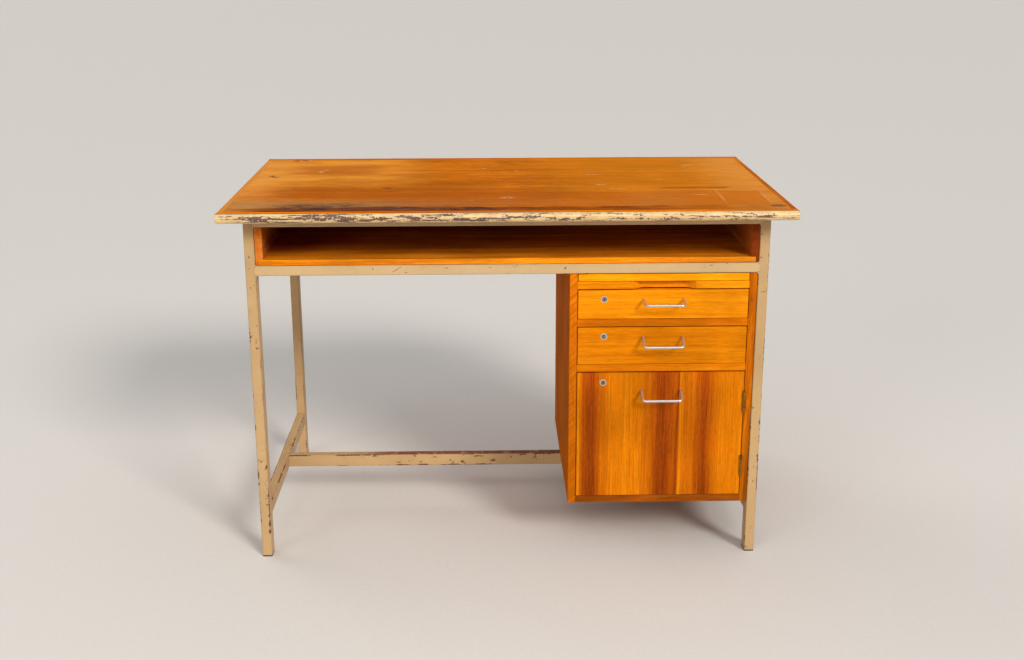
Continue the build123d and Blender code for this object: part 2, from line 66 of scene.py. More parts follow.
def tint(red, green, blue):
    """A colour given as 0-255 display values, as the linear RGBA that a shader takes."""
    linear = [
        v / 12.92 if v <= 0.04045 else ((v + 0.055) / 1.055) ** 2.4
        for v in (red / 255, green / 255, blue / 255)
    ]
    return (*linear, 1.0)


class Graph:
    """One material and short calls that add nodes to it."""

    def __init__(self, name, fixed):
        self.material = bpy.data.materials.new(name)
        self.material.use_nodes = True
        self.tree = self.material.node_tree
        self.tree.nodes.clear()
        output = self.tree.nodes.new("ShaderNodeOutputMaterial")
        self.shader = self.tree.nodes.new("ShaderNodeBsdfPrincipled")
        self.tree.links.new(self.shader.outputs[0], output.inputs["Surface"])
        for socket, value in fixed.items():
            self.shader.inputs[socket].default_value = value
        self.coordinates = self.tree.nodes.new("ShaderNodeTexCoord")
        self.point = self.coordinates.outputs["Object"]

    def put(self, socket, value):
        if isinstance(value, bpy.types.NodeSocket):
            self.tree.links.new(value, socket)
        else:
            socket.default_value = value

    def add(self, kind, values, out=0, **settings):
        node = self.tree.nodes.new("ShaderNode" + kind)
        for key, value in settings.items():
            setattr(node, key, value)
        for key, value in values.items():
            self.put(node.inputs[key], value)
        return node.outputs[out]

    def set(self, socket, value):
        self.put(self.shader.inputs[socket], value)

    def math(self, operation, a, b=0.0, clamp=False):
        return self.add("Math", {0: a, 1: b}, operation=operation, use_clamp=clamp)

    def plus(self, a, b, clamp=False):
        return self.math("ADD", a, b, clamp)

    def minus(self, a, b):
        return self.math("SUBTRACT", a, b)

    def vector(self, operation, a, b):
        return self.add("VectorMath", {0: a, 1: b}, operation=operation)

    def split(self, vector):
        node = self.tree.nodes.new("ShaderNodeSeparateXYZ")
        self.put(node.inputs[0], vector)
        return node.outputs[0], node.outputs[1], node.outputs[2]

    def join(self, x, y, z):
        return self.add("CombineXYZ", {0: x, 1: y, 2: z})

    def noise(self, vector, scale, detail=2.0, roughness=0.5, distortion=0.0):
        values = {
            "Vector": vector,
            "Scale": scale,
            "Detail": detail,
            "Roughness": roughness,
            "Distortion": distortion,
        }
        return self.add("TexNoise", values)

    def step(self, value, low, high, to_low=0.0, to_high=1.0):
        """value mapped smoothly from low..high to to_low..to_high, and held outside."""
        values = {0: value, 1: low, 2: high, 3: to_low, 4: to_high}
        return self.add("MapRange", values, interpolation_type="SMOOTHSTEP", clamp=True)

    def ramp(self, factor, stops, smooth=False):
        node = self.tree.nodes.new("ShaderNodeValToRGB")
        node.color_ramp.interpolation = "EASE" if smooth else "LINEAR"
        elements = node.color_ramp.elements
        while len(elements) > 1:
            elements.remove(elements[-1])
        elements[0].position, elements[0].color = stops[0]
        for position, colour in stops[1:]:
            elements.new(position).color = colour
        self.put(node.inputs[0], factor)
        return node.outputs[0]

    def mix(self, factor, a, b, blend="MIX"):
        values = {0: factor, 6: a, 7: b}
        return self.add("Mix", values, out=2, data_type="RGBA", blend_type=blend)

    def between(self, factor, a, b):
        """The number that runs from a to b as factor runs from 0 to 1."""
        return self.add("Mix", {0: factor, 2: a, 3: b}, data_type="FLOAT")

    def shade(self, colour, factor):
        """colour multiplied by a grey factor."""
        return self.mix(1.0, colour, self.join(factor, factor, factor), "MULTIPLY")

    def bump(self, height, distance, strength=1.0, normal=None):
        values = {"Height": height, "Distance": distance, "Strength": strength}
        if normal is not None:
            values["Normal"] = normal
        return self.add("Bump", values)

    def blob(self, x, y, centre, half, soft=0.35):
        """1 inside an ellipse round centre with the half sizes half, 0 outside, over a soft edge."""
        dx = self.math("DIVIDE", self.math("SUBTRACT", x, centre[0]), half[0])
        dy = self.math("DIVIDE", self.math("SUBTRACT", y, centre[1]), half[1])
        distance = self.math(
            "SQRT",
            self.math("ADD", self.math("MULTIPLY", dx, dx), self.math("MULTIPLY", dy, dy)),
        )
        return self.step(distance, 1 - soft, 1 + soft, 1.0, 0.0)

    def band(self, value, low, high, soft):
        """1 where value lies between low and high, over edges that are soft wide."""
        rise = self.step(value, low - soft, low + soft)
        fall = self.step(value, high - soft, high + soft, 1.0, 0.0)
        return self.math("MULTIPLY", rise, fall)

    def times(self, *factors):
        result = factors[0]
        for factor in factors[1:]:
            result = self.math("MULTIPLY", result, factor)
        return result

    def largest(self, *values):
        result = values[0]
        for value in values[1:]:
            result = self.math("MAXIMUM", result, value)
        return result


# ---------------------------------------------------------------- timber


AMBER = (1.0, 0.62, 0.22, 1.0)  # the varnish colours its own sheen


def scaled(along, across, axis):
    """Scales for X, Y and Z: along on the axis of the grain, and across on the other two."""
    return tuple(along if i == axis else across for i in range(3))


def at_front(g, y, front, start=0.0004, fade=0.0008):
    """1 on faces at the front plane Y = front, fading to 0 from start to start + fade behind it."""
    return g.step(y, front + start, front + start + fade, 1.0, 0.0)


def grain_layers(g, grain, seed, figure, fibre, stretch, sway, lean):
    """The layers that every timber shares: broad figure, fine fibre, short dark pores and tone.
    sway bends the grain. lean is None, or how far the grain of a front edge leans and that edge's Y."""
    axis = AXES[grain]
    place = g.vector("ADD", g.point, (seed * 0.37, seed * 0.71, seed * 0.53))
    if lean is not None:
        slope, front = lean
        _, y, z = g.split(g.point)
        slant = g.times(z, at_front(g, y, front), slope)
        place = g.vector("ADD", place, g.join(slant, 0.0, 0.0))
    drift = g.noise(place, 2.6, 1.0)
    bend = g.times(g.minus(drift, 0.5), sway)
    place = g.vector("ADD", place, g.join(bend, bend, bend))
    stretched = g.vector("MULTIPLY", place, scaled(stretch, 1.0, axis))
    finer = g.vector("MULTIPLY", place, scaled(stretch * 0.6, 1.0, axis))
    return {
        "figure": g.noise(stretched, figure, 3.0, 0.55, 0.4),
        "fibre": g.noise(finer, fibre, 3.0, 0.65),
        "pores": g.noise(finer, fibre * 2.1, 1.0, 0.5),
        "tone": g.noise(place, 5.0, 2.0, 0.5),
    }


def timber(name, grain, tones, seed, figure=26.0, fibre=420.0, stretch=0.045, spread=0.22, sway=0.035,
           lean=None, tone=0.18, fleck=0.0, gloss=(0.36, 0.52), specular=0.22, finish=None, plain=None):
    """A varnished timber. tones run from dark to light. finish may repaint the colour, and plain
    replaces the ramp of tones by a colour of its own."""
    g = Graph(name, {"Specular IOR Level": specular, "Specular Tint": AMBER})
    layers = grain_layers(g, grain, seed, figure, fibre, stretch, sway, lean)
    body = g.step(layers["figure"], 0.5 - spread, 0.5 + spread)
    fine = g.step(layers["fibre"], 0.3, 0.7)
    if plain is None:
        blend = g.plus(g.times(body, 0.68), g.times(fine, 0.32))
        count = len(tones) - 1
        colour = g.ramp(blend, [(0.12 + 0.76 * i / count, t) for i, t in enumerate(tones)])
    else:
        colour = g.shade(plain(g), g.step(fine, 0.0, 1.0, 0.84, 1.1))
    colour = g.shade(colour, g.step(layers["tone"], 0.3, 0.7, 1 - tone, 1 + tone * 0.6))
    if fleck:
        dots = g.noise(g.vector("MULTIPLY", g.point, scaled(38.0, 310.0, AXES[grain])), 1.0, 3.0, 0.6)
        colour = g.shade(colour, g.step(dots, 0.36, 0.60, 1 - fleck, 1 + fleck * 0.35))
    dash = g.step(layers["pores"], 0.6, 0.7)
    colour = g.shade(colour, g.minus(1.0, g.times(dash, 0.25)))
    rough = g.step(layers["figure"], 0.3, 0.7, gloss[1], gloss[0])
    height = g.minus(fine, g.times(dash, 0.5))
    if finish is not None:
        colour, rough, height = finish(g, colour, rough, height)
    g.set("Base Color", colour)
    g.set("Roughness", rough)
    g.set("Normal", g.bump(height, 0.00012, 0.6))
    return g.material


# ---------------------------------------------------------------- the worn top

# the pale of the painted sheen over the left of the top
TOP_SHEEN = tint(232, 150, 50)
TOP_WARM = tint(214, 128, 12)
TOP_END = tint(224, 148, 64)
TOP_DARK = tint(168, 80, 12)
TOP_WORN = tint(196, 118, 40)
TOP_KEPT = tint(190, 99, 4)
STAIN = tint(52, 42, 46)
REDBROWN = tint(96, 38, 10)
# the grey of the painted sheen along the front of the top
SHEEN_GREY = tint(166, 116, 66)
SCUFF = tint(232, 192, 150)

# marks on the top, each the X and Y of its centre and its half sizes
KNOTS = (
    ((-0.534, 0.333), (0.008, 0.01)), ((-0.512, 0.339), (0.009, 0.008)),
    ((-0.562, 0.1), (0.006, 0.012)), ((-0.552, 0.09), (0.01, 0.006)), ((-0.27, -0.064), (0.013, 0.005)),
    ((0.578, -0.3), (0.016, 0.014)),
)
SCRATCHES = (
    ((0.474, -0.185), (0.0022, 0.07)), ((0.57, -0.205), (0.0022, 0.055)),
    ((0.221, -0.037), (0.012, 0.006)), ((0.358, 0.028), (0.012, 0.006)), ((0.21, 0.1), (0.014, 0.005)),
    ((0.002, -0.19), (0.016, 0.01)), ((0.461, 0.232), (0.016, 0.007)),
    ((-0.449, 0.163), (0.006, 0.016)), ((-0.44, 0.19), (0.005, 0.01)), ((0.43, -0.168), (0.018, 0.004)),
    ((0.25, -0.09), (0.02, 0.003)), ((-0.05, 0.2), (0.003, 0.012)), ((0.03, 0.16), (0.003, 0.01)),
    ((-0.3, -0.02), (0.012, 0.003)),
)


def drawn_out(g, along, scale, detail=4.0, roughness=0.7):
    """Noise drawn out along the length of the top, the more the smaller along is."""
    return g.noise(g.vector("MULTIPLY", g.point, (along, 1.0, 1.0)), scale, detail, roughness)


def shifted(g, x, y, grains, by_x, by_y):
    """The place x, y moved about by the noise grains, so that an outline drawn there is ragged."""
    offset = g.minus(grains, 0.5)
    moved_x = g.plus(x, g.times(offset, by_x))
    moved_y = g.plus(y, g.times(offset, by_y))
    return moved_x, moved_y


def aged_boards_and_sheen(g, colour, x, y):
    """Boards that faded or darkened to their own tone, running the length of the top, and a painted
    sheen:
    a pale patch over the left and a pale grey band along the front, strongest on the left.
    """
    patchy = g.step(drawn_out(g, 0.3, 17.0, 3.0, 0.6), 0.36, 0.60)
    # painted sheen: a pale patch over the left of the top
    sheen_left = g.times(g.band(x, -0.62, -0.24, 0.10), g.band(y, -0.03, 0.35, 0.05))
    colour = g.mix(g.times(sheen_left, g.between(patchy, 0.35, 0.85)), colour, TOP_SHEEN)
    warm_right = g.times(g.band(x, 0.12, 0.66, 0.12), g.band(y, -0.12, 0.40, 0.05), 0.42)
    colour = g.mix(warm_right, colour, TOP_WARM)
    ends = g.largest(g.step(x, -0.58, -0.45, 0.85, 0.0), g.step(x, 0.42, 0.57, 0.0, 0.65))
    colour = g.mix(g.times(ends, g.between(patchy, 0.6, 1.0)), colour, TOP_END)
    brown_board = g.times(g.band(x, -0.52, -0.30, 0.06), g.band(y, 0.10, 0.26, 0.03), 0.6)
    colour = g.mix(brown_board, colour, TOP_DARK)
    brown_front = g.times(g.band(x, -0.58, 0.10, 0.10), g.band(y, -0.21, -0.07, 0.03), 0.5)
    colour = g.mix(brown_front, colour, TOP_DARK)
    # painted sheen: a pale grey band along the front, strongest on the left
    sheen_band = g.times(g.band(y, -0.300, -0.208, 0.030), g.step(x, -0.30, 0.14, 1.0, 0.25))
    colour = g.mix(g.times(sheen_band, g.between(patchy, 0.46, 0.80)), colour, SHEEN_GREY)
    tired = g.times(g.band(x, -0.26, 0.42, 0.08), g.band(y, -0.330, -0.130, 0.03), 0.42)
    return g.mix(tired, colour, TOP_DARK)


def front_stain(g, colour, x, y):
    """A dark red-brown streak just behind the front lipping, with an ink-dark stain in it."""
    speckle = drawn_out(g, 0.35, 120.0)
    smear = drawn_out(g, 0.30, 46.0)
    streak = g.times(
        g.band(y, -0.350, -0.296, 0.012),
        g.band(x, -0.60, 0.62, 0.1),
        g.step(smear, 0.36, 0.60, 0.62, 1.0),
        g.step(x, 0.20, 0.42, 1.0, 0.45),
        0.84,
    )
    colour = g.mix(streak, colour, REDBROWN)
    stain = g.largest(
        g.blob(x, y, (-0.40, -0.288), (0.095, 0.040), 0.5),
        g.blob(x, y, (-0.25, -0.304), (0.13, 0.020), 0.6),
        g.blob(x, y, (-0.06, -0.312), (0.09, 0.014), 0.6),
    )
    inky = g.times(g.step(speckle, 0.37, 0.54, 0.22, 1.0), g.step(smear, 0.32, 0.52, 0.45, 1.0))
    stain = g.times(stain, inky, 0.9)
    return g.mix(stain, colour, STAIN)


def kept_patch(g, colour, x, wide_x, wide_y, y, ragged_y):
    """The rectangle that stayed darker under something that stood there, with wear round it."""
    worn_round = g.times(g.band(wide_x, 0.26, 0.60, 0.05), g.band(wide_y, -0.30, -0.10, 0.03), 0.35)
    colour = g.mix(worn_round, colour, TOP_WORN)
    patch = g.times(g.band(x, 0.398, 0.570, 0.004), g.band(y, -0.292, -0.124, 0.005), 0.62)
    colour = g.mix(patch, colour, TOP_KEPT)
    line = g.times(g.band(wide_x, 0.36, 0.50, 0.02), g.band(ragged_y, -0.090, -0.072, 0.005), 0.5)
    return g.mix(line, colour, REDBROWN)


def top_finish(g, colour, rough, height):
    """The wear of the writing surface: aged boards with a painted sheen on the left, a stained front
    edge, flecks, knots, a patch where something stood, and light scuffs and scratches."""
    x, y, _ = g.split(g.point)
    waves = g.noise(g.vector("MULTIPLY", g.point, (0.5, 1.6, 1.0)), 26.0, 4.0, 0.65)
    wide_x, wide_y = shifted(g, x, y, waves, 0.16, 0.07)
    ragged_x, ragged_y = shifted(g, x, y, g.noise(g.point, 90.0, 3.0, 0.6), 0.022, 0.018)
    colour = aged_boards_and_sheen(g, colour, wide_x, wide_y)
    colour = front_stain(g, colour, wide_x, wide_y)
    # small dark flecks that follow the grain, thickest over the front half
    front_half = g.step(y, -0.30, 0.25, 1.0, 0.35)
    flecks = g.times(g.step(drawn_out(g, 0.22, 95.0), 0.57, 0.68), front_half, 0.42)
    colour = g.mix(flecks, colour, REDBROWN)
    for centre, half in KNOTS:
        knot = g.blob(ragged_x, ragged_y, centre, half, 0.4)
        colour = g.mix(g.times(knot, 0.7), colour, STAIN)
    colour = kept_patch(g, colour, x, wide_x, wide_y, y, ragged_y)
    # light scratches and short ticks, broken by a fine noise, and patches that are rubbed dull
    fine = drawn_out(g, 0.5, 210.0, 3.0)
    haze = drawn_out(g, 0.4, 34.0, 3.0, 0.6)
    scratch = g.largest(*(g.blob(x, y, centre, half, 0.7) for centre, half in SCRATCHES))
    rubbed = g.times(g.step(fine, 0.60, 0.70), g.step(haze, 0.50, 0.64), 0.5)
    scratch = g.largest(g.times(scratch, g.step(fine, 0.44, 0.58), 0.8), rubbed)
    colour = g.mix(g.times(scratch, 0.58), colour, SCUFF)
    rough = g.plus(rough, g.times(haze, 0.12))
    rough = g.plus(rough, g.times(scratch, 0.2), clamp=True)
    height = g.minus(height, g.times(scratch, 0.8))
    return colour, rough, height


def long_lippings(g, colour, rough, height):
    """The rear lipping is painted darker, as painted shade, and a painted shadow line runs along the
    joint between the front one and the nosing.
    """
    x, y, _ = g.split(g.point)
    # painted shade: the rear lipping darker than the front one
    colour = g.shade(colour, g.step(y, -0.05, 0.05, 1.0, 0.82))
    broken = g.noise(g.vector("MULTIPLY", g.point, (1.0, 0.2, 1.0)), 60.0, 4.0, 0.7)
    # painted shadow in the joint between the front lipping and the nosing, broken by noise and fainter on
    # the right
    joint_shadow = g.times(
        at_front(g, y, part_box("top_long_lippings")[0][1], 0.0020, 0.0022),
        g.step(broken, 0.34, 0.54, 0.45, 1.0),
        g.step(x, 0.05, 0.30, 0.92, 0.62),
    )
    return g.mix(joint_shadow, colour, tint(60, 28, 14)), rough, height


def end_lippings(g, colour, rough, height):
    """The left-hand lipping has faded like the end of the board beside it."""
    x, _, _ = g.split(g.point)
    return g.mix(g.step(x, -0.1, 0.1, 0.62, 0.0), colour, TOP_END), rough, height


# ---------------------------------------------------------------- door veneer


def veneer_stripes(door):
    """The upright stripes of the door's veneer, as a function that gives their colour."""
    low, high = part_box(door)
    left, width = low[0], high[0] - low[0]
    light, mid = tint(202, 110, 5), tint(190, 97, 6)
    dark, darkest, edge = tint(174, 80, 7), tint(154, 64, 8), tint(210, 118, 8)
    most = 30  # stops given to one ramp, which holds 32
    # each stripe's right edge as a share of the width, and its colour
    stripes = [
        (0.018, edge), (0.050, dark), (0.115, darkest), (0.130, dark), (0.185, mid),
        (0.290, light), (0.300, edge), (0.395, light), (0.455, mid),
        (0.475, dark), (0.560, darkest), (0.604, dark), (0.613, darkest), (0.628, edge),
        (0.715, mid), (0.750, dark), (0.790, darkest), (0.810, dark), (0.850, mid),
        (0.985, light), (1.0, edge),
    ]

    def paint(g):
        x, _, z = g.split(g.point)
        wander = g.noise(g.join(g.times(x, 9.0), 0.0, g.times(z, 2.2)), 1.6)
        wander = g.times(g.minus(wander, 0.5), 0.016)
        share = g.math("DIVIDE", g.minus(x, left), width)
        inner = g.band(share, 0.03, 0.97, 0.02)
        share = g.plus(share, g.times(wander, inner))
        stops, start = [], 0.0
        for end, colour in stripes:
            soft = min(0.016, (end - start) * 0.36)
            stops += [(start + soft, colour), (end - soft, colour)]
            start = end
        broad = g.ramp(share, stops[:most])
        rest = g.ramp(share, stops[most:])
        colour = g.mix(g.step(share, stops[most - 1][0], stops[most][0]), broad, rest)
        lines = g.join(g.times(x, 230.0), 0.0, g.times(z, 7.0))
        vein = g.noise(lines, 1.0, 4.0, 0.62)
        flecks = g.join(g.times(x, 620.0), 0.0, g.times(z, 70.0))
        fleck = g.noise(flecks, 1.0, 2.0, 0.6)
        level = g.split(colour)[0]
        depth = g.step(level, 0.28, 0.62, 0.70, 0.93)
        line = g.step(vein, 0.32, 0.62)
        colour = g.shade(colour, g.between(line, depth, 1.08))
        # the dark stripes deepen towards the foot of the door
        deepen = g.step(z, low[2], high[2], 0.76, 1.18)
        colour = g.shade(colour, g.between(g.step(level, 0.28, 0.62), deepen, 1.0))
        pit = g.step(level, 0.28, 0.62, 0.80, 0.90)
        return g.shade(colour, g.between(g.step(fleck, 0.36, 0.60), pit, 1.05))

    return paint


# ---------------------------------------------------------------- paint and metal


def section(node, axis, centre=0.0):
    """The span of a tube's section along axis, measured from the plane that mirrors its twins."""
    low, high = (corner[AXES[axis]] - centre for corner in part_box(node))
    return AXES[axis], centre, *sorted((abs(low), abs(high)))


def near_edge(g, where, spans):
    """1 along the edges of a tube whose section has these two spans, and 0 on its faces."""
    inside = []
    for axis, centre, low, high in spans:
        along = g.math("ABSOLUTE", g.minus(where[axis], centre))
        from_low, to_high = g.minus(along, low), g.minus(high, along)
        inside.append(g.math("MINIMUM", from_low, to_high))
    return g.step(g.largest(*inside), 0.0004, 0.0040, 1.0, 0.0)


def past_limit(g, grains, near, dense, chips, limit, drop, edge_help):
    """How far the noise grains rises above the level at which paint comes away. That level is limit,
    falls by drop where the wear is dense, and falls by edge_help near an edge."""
    helped = g.times(near, g.between(dense, *edge_help), chips)
    level = g.minus(g.between(dense, limit, limit - drop * chips), helped)
    return g.minus(grains, level)


def single_chips(g, place, dense, small, chips):
    """1 in single small chips anywhere on the faces, each of its own size and ragged outline."""
    cell = g.add("TexVoronoi", {"Vector": place, "Scale": 125.0})
    draw, size, _ = g.split(cell.node.outputs["Color"])
    share = g.between(dense, 0.012 * chips**2, 0.13 * chips**2)
    kept = g.step(g.plus(draw, share), 0.99, 1.0)
    radius = g.times(g.step(size, 0.0, 1.0, 0.14, 0.34), kept)
    ragged = g.plus(cell, g.times(g.minus(small, 0.5), 0.9))
    return g.step(g.minus(radius, ragged), 0.0, 0.05)


def thin_scratch(g, where, front, small, scratch):
    """1 in a thin scratch on the front face, which lies at Y = front. scratch is the X and Z of its
    middle, half its length along X, and its rise per run."""
    x, z, length, lean = scratch
    dx, dz = g.minus(where[0], x), g.minus(where[2], z)
    across = g.minus(dz, g.times(dx, lean))
    across = g.plus(across, g.times(g.minus(small, 0.5), 0.0024))
    line = g.step(g.math("ABSOLUTE", across), 0.0004, 0.0009, 1.0, 0.0)
    reach = g.step(g.math("ABSOLUTE", dx), length * 0.8, length, 1.0, 0.0)
    return g.times(line, reach, at_front(g, where[1], front, 0.0015, 0.0010), 0.85)


def shoe_worn(g, place, where, small, span, colour, chip):
    """The upper face rubbed to brown by shoes. It starts to show at span[0] along X and is full at
    span[1]."""
    _, _, up = g.split(g.coordinates.outputs["Normal"])
    face = g.times(g.step(up, 0.4, 0.85), g.step(where[0], *span))
    rubbed = g.times(face, g.step(g.noise(place, 60.0, 3.0, 0.6), 0.28, 0.5))
    brown = g.ramp(small, [(0.35, tint(86, 36, 28)), (0.65, tint(132, 66, 48))])
    colour = g.mix(g.times(rubbed, 0.9), colour, brown)
    return colour, g.largest(chip, g.times(rubbed, 0.6))


def enamel(name, tones, spans, chips, seed, front_node="front_left_leg", scratches=(), marks=(),
           low_wear=False, worn_top=None):
    """Cream stove enamel on steel tube, chipped to dark metal mostly along the tube's edges.
    spans are the two directions of the tube's section, and chips is how badly it is chipped.
    scratches and marks lie on the front face of front_node. low_wear keeps most chips below knee
    height, and worn_top is where along X shoes have rubbed the upper face."""
    g = Graph(name, {"Specular IOR Level": 0.42})
    place = g.vector("ADD", g.point, (seed, seed * 0.6, seed * 0.3))
    where = g.split(g.point)
    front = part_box(front_node)[0][1]
    near = near_edge(g, where, spans)
    dense = g.step(g.noise(place, 13.0, 2.0, 0.6), 0.44, 0.62)
    if low_wear:
        dense = g.times(dense, g.step(where[2], 0.25, 0.55, 1.0, 0.45))
    cloud = g.noise(place, 7.0, 3.0, 0.6)
    grime = g.noise(place, 22.0, 4.0, 0.65)
    spots = g.noise(place, 210.0, 3.0, 0.62)
    small = g.noise(place, 400.0, 2.0, 0.6)
    dust = g.noise(place, 480.0, 2.0, 0.6)

    colour = g.ramp(cloud, [(0.3, tones[0]), (0.7, tones[1])])
    colour = g.shade(colour, g.step(dust, 0.3, 0.7, 0.96, 1.03))
    colour = g.mix(g.step(grime, 0.54, 0.76, 0.0, 0.26), colour, tint(140, 100, 60))
    colour = g.mix(g.times(near, 0.16), colour, tint(146, 104, 60))

    spots_over = past_limit(g, spots, near, dense, chips, 0.80, 0.075, (0.09, 0.19))
    small_over = past_limit(g, small, near, dense, chips, 0.78, 0.065, (0.02, 0.12))
    chip = g.largest(
        g.step(spots_over, 0.0, 0.012),
        g.step(small_over, 0.0, 0.015),
        single_chips(g, place, dense, small, chips),
        *(thin_scratch(g, where, front, small, scratch) for scratch in scratches),
    )
    fray = g.noise(place, 260.0, 3.0, 0.65)
    ragged_x, ragged_z = shifted(g, where[0], where[2], fray, 0.010, 0.014)
    for centre, half in marks:
        mark = g.blob(ragged_x, ragged_z, centre, half, 0.25)
        chip = g.largest(chip, g.times(mark, at_front(g, where[1], front, 0.002, 0.001)))

    pale_rim = g.times(g.step(spots_over, -0.014, 0.0), 0.3)
    colour = g.mix(pale_rim, colour, tint(214, 188, 146))
    steel = g.ramp(dust, [(0.35, tint(60, 32, 20)), (0.65, tint(112, 64, 42))])
    colour = g.mix(chip, colour, steel)
    if worn_top is not None:
        colour, chip = shoe_worn(g, place, where, small, worn_top, colour, chip)
    rough = g.step(grime, 0.3, 0.7, 0.38, 0.52)
    g.set("Base Color", colour)
    g.set("Roughness", g.between(chip, rough, 0.74))
    g.set("Normal", g.bump(g.minus(g.times(cloud, 0.3), chip), 0.0003, 0.8))
    return g.material


def nosing_paint():
    """Cream gloss on the front nosing. The attribute chip is 1 where the paint has come away."""
    g = Graph("nosing_paint", {"Specular IOR Level": 0.55, "Coat Weight": 0.5, "Coat Roughness": 0.14})
    gone = g.add("Attribute", {}, out=2, attribute_name="chip")
    fine = g.noise(g.vector("MULTIPLY", g.point, (0.6, 1.0, 1.0)), 620.0, 3.0, 0.65)
    edge = g.plus(gone, g.times(g.minus(fine, 0.5), 0.55))
    bare_and_lit = g.step(edge, 0.45, 0.54)
    cloud = g.noise(g.point, 24.0, 3.0, 0.6)
    cream = g.ramp(cloud, [(0.3, tint(200, 166, 108)), (0.7, tint(218, 188, 132))])
    speck = g.noise(g.point, 330.0, 2.0, 0.5)
    cream = g.mix(g.step(speck, 0.66, 0.72, 0.0, 0.6), cream, tint(96, 66, 58))
    bare_wood = [(0.3, tint(54, 35, 30)), (0.55, tint(96, 64, 52)), (0.75, tint(140, 98, 74))]
    under = g.ramp(fine, bare_wood)
    halo = g.times(g.band(edge, 0.24, 0.42, 0.05), 0.5)
    cream = g.mix(halo, cream, tint(190, 150, 110))
    g.set("Base Color", g.mix(bare_and_lit, cream, under))
    g.set("Roughness", g.between(bare_and_lit, g.step(cloud, 0.3, 0.7, 0.22, 0.34), 0.72))
    g.set("Normal", g.bump(g.minus(g.times(fine, 0.2), bare_and_lit), 0.0002, 0.7))
    return g.material


def metal(name, dark, light, rough, metallic=1.0, scale=300.0, tarnish=None):
    """Satin metal with a fine grain and, if asked, a tarnish in patches."""
    g = Graph(name, {"Metallic": metallic, "Specular IOR Level": 0.5})
    lines = g.noise(g.point, scale, 3.0, 0.6)
    patch = g.noise(g.point, 60.0, 3.0, 0.6)
    colour = g.ramp(lines, [(0.3, dark), (0.7, light)])
    if tarnish is not None:
        colour = g.mix(g.step(patch, 0.48, 0.64, 0.0, 0.75), colour, tarnish)
    g.set("Base Color", colour)
    g.set("Roughness", g.step(patch, 0.3, 0.7, rough[0], rough[1]))
    g.set("Normal", g.bump(lines, 0.00004, 0.5))
    return g.material


def rubber(name):
    g = Graph(name, {"Specular IOR Level": 0.3})
    grit = g.noise(g.point, 520.0, 3.0, 0.7)
    colour = g.ramp(grit, [(0.3, tint(30, 27, 25)), (0.7, tint(62, 56, 50))])
    g.set("Base Color", colour)
    g.set("Roughness", g.step(grit, 0.3, 0.7, 0.7, 0.9))
    g.set("Normal", g.bump(grit, 0.0002, 0.6))
    return g.material


# ---------------------------------------------------------------- every CAD node's material

ORANGE = (tint(182, 88, 4), tint(200, 104, 6), tint(214, 120, 12))
BRIGHT = (tint(210, 114, 4), tint(228, 133, 7), tint(242, 151, 16))
AMBERS = (tint(226, 129, 5), tint(243, 150, 8), tint(253, 169, 20))
HONEY = (tint(187, 97, 3), tint(206, 115, 5), tint(221, 132, 10))
BROWN = (tint(146, 68, 5), tint(176, 90, 8), tint(200, 110, 14))
DEEP = (tint(176, 95, 14), tint(210, 121, 18), tint(236, 145, 24))
RAW = (tint(176, 132, 84), tint(202, 160, 108), tint(222, 184, 134))
PLY = (tint(168, 128, 84), tint(192, 152, 104), tint(206, 168, 120))
TOP_TONES = (tint(160, 76, 4), tint(188, 98, 6), tint(200, 110, 9), tint(214, 126, 20))
LONG_LIPPING = (tint(200, 98, 8), tint(218, 114, 12), tint(230, 128, 20))
END_LIPPING = (tint(168, 82, 10), tint(196, 106, 16), tint(214, 126, 24))
SHELF_SIDE = (tint(150, 74, 20), tint(172, 92, 30), tint(188, 108, 42))
LOWER_RAIL = (tint(200, 104, 5), tint(216, 120, 7), tint(230, 138, 14))
UNDERSIDE = (tint(120, 57, 9), tint(152, 76, 13), tint(176, 93, 19))
LEG_CREAM = (tint(177, 142, 96), tint(190, 155, 107))
RAIL_CREAM = (tint(188, 157, 111), tint(199, 167, 121))

# scratches on front faces, each the X and Z of its middle, its half length and its rise per run
LEG_SCRATCHES = (
    (0.5555, 0.6195, 0.0045, 0.1), (0.562, 0.6245, 0.0026, 2.4), (-0.548, 0.186, 0.002, 2.0),
    (-0.55, 0.178, 0.003, -1.6), (-0.546, 0.104, 0.0025, 3.0),
)
RAIL_SCRATCHES = (
    (-0.24, 0.6755, 0.011, 0.6), (-0.2205, 0.6685, 0.003, 0.1), (-0.133, 0.678, 0.004, 0.2),
    (-0.039, 0.6785, 0.003, -0.1), (0.013, 0.68, 0.003, -0.2), (0.44, 0.68, 0.004, -0.2),
)
# chips on front faces, each the X and Z of its centre and its half sizes
LEG_CHIPS = (
    ((-0.565, 0.315), (0.002, 0.006)), ((-0.561, 0.236), (0.002, 0.002)),
    ((-0.557, 0.232), (0.0015, 0.002)), ((-0.545, 0.221), (0.0024, 0.004)),
    ((-0.565, 0.202), (0.0024, 0.012)), ((-0.564, 0.18), (0.0018, 0.004)),
    ((-0.565, 0.107), (0.0018, 0.005)), ((-0.565, 0.088), (0.0015, 0.003)),
    ((-0.545, 0.082), (0.002, 0.009)), ((-0.5458, 0.062), (0.0024, 0.006)),
    ((-0.5448, 0.102), (0.002, 0.006)), ((-0.554, 0.26), (0.001, 0.001)),
    ((-0.548, 0.15), (0.0012, 0.003)), ((-0.55, 0.143), (0.0022, 0.001)),
    ((0.564, 0.318), (0.0015, 0.007)), ((0.563, 0.236), (0.0018, 0.004)),
    ((0.564, 0.226), (0.002, 0.007)), ((0.556, 0.06), (0.0018, 0.001)),
    ((-0.5626, 0.526), (0.0018, 0.003)), ((-0.5513, 0.516), (0.0009, 0.006)),
    ((-0.5513, 0.5), (0.0008, 0.004)),
)
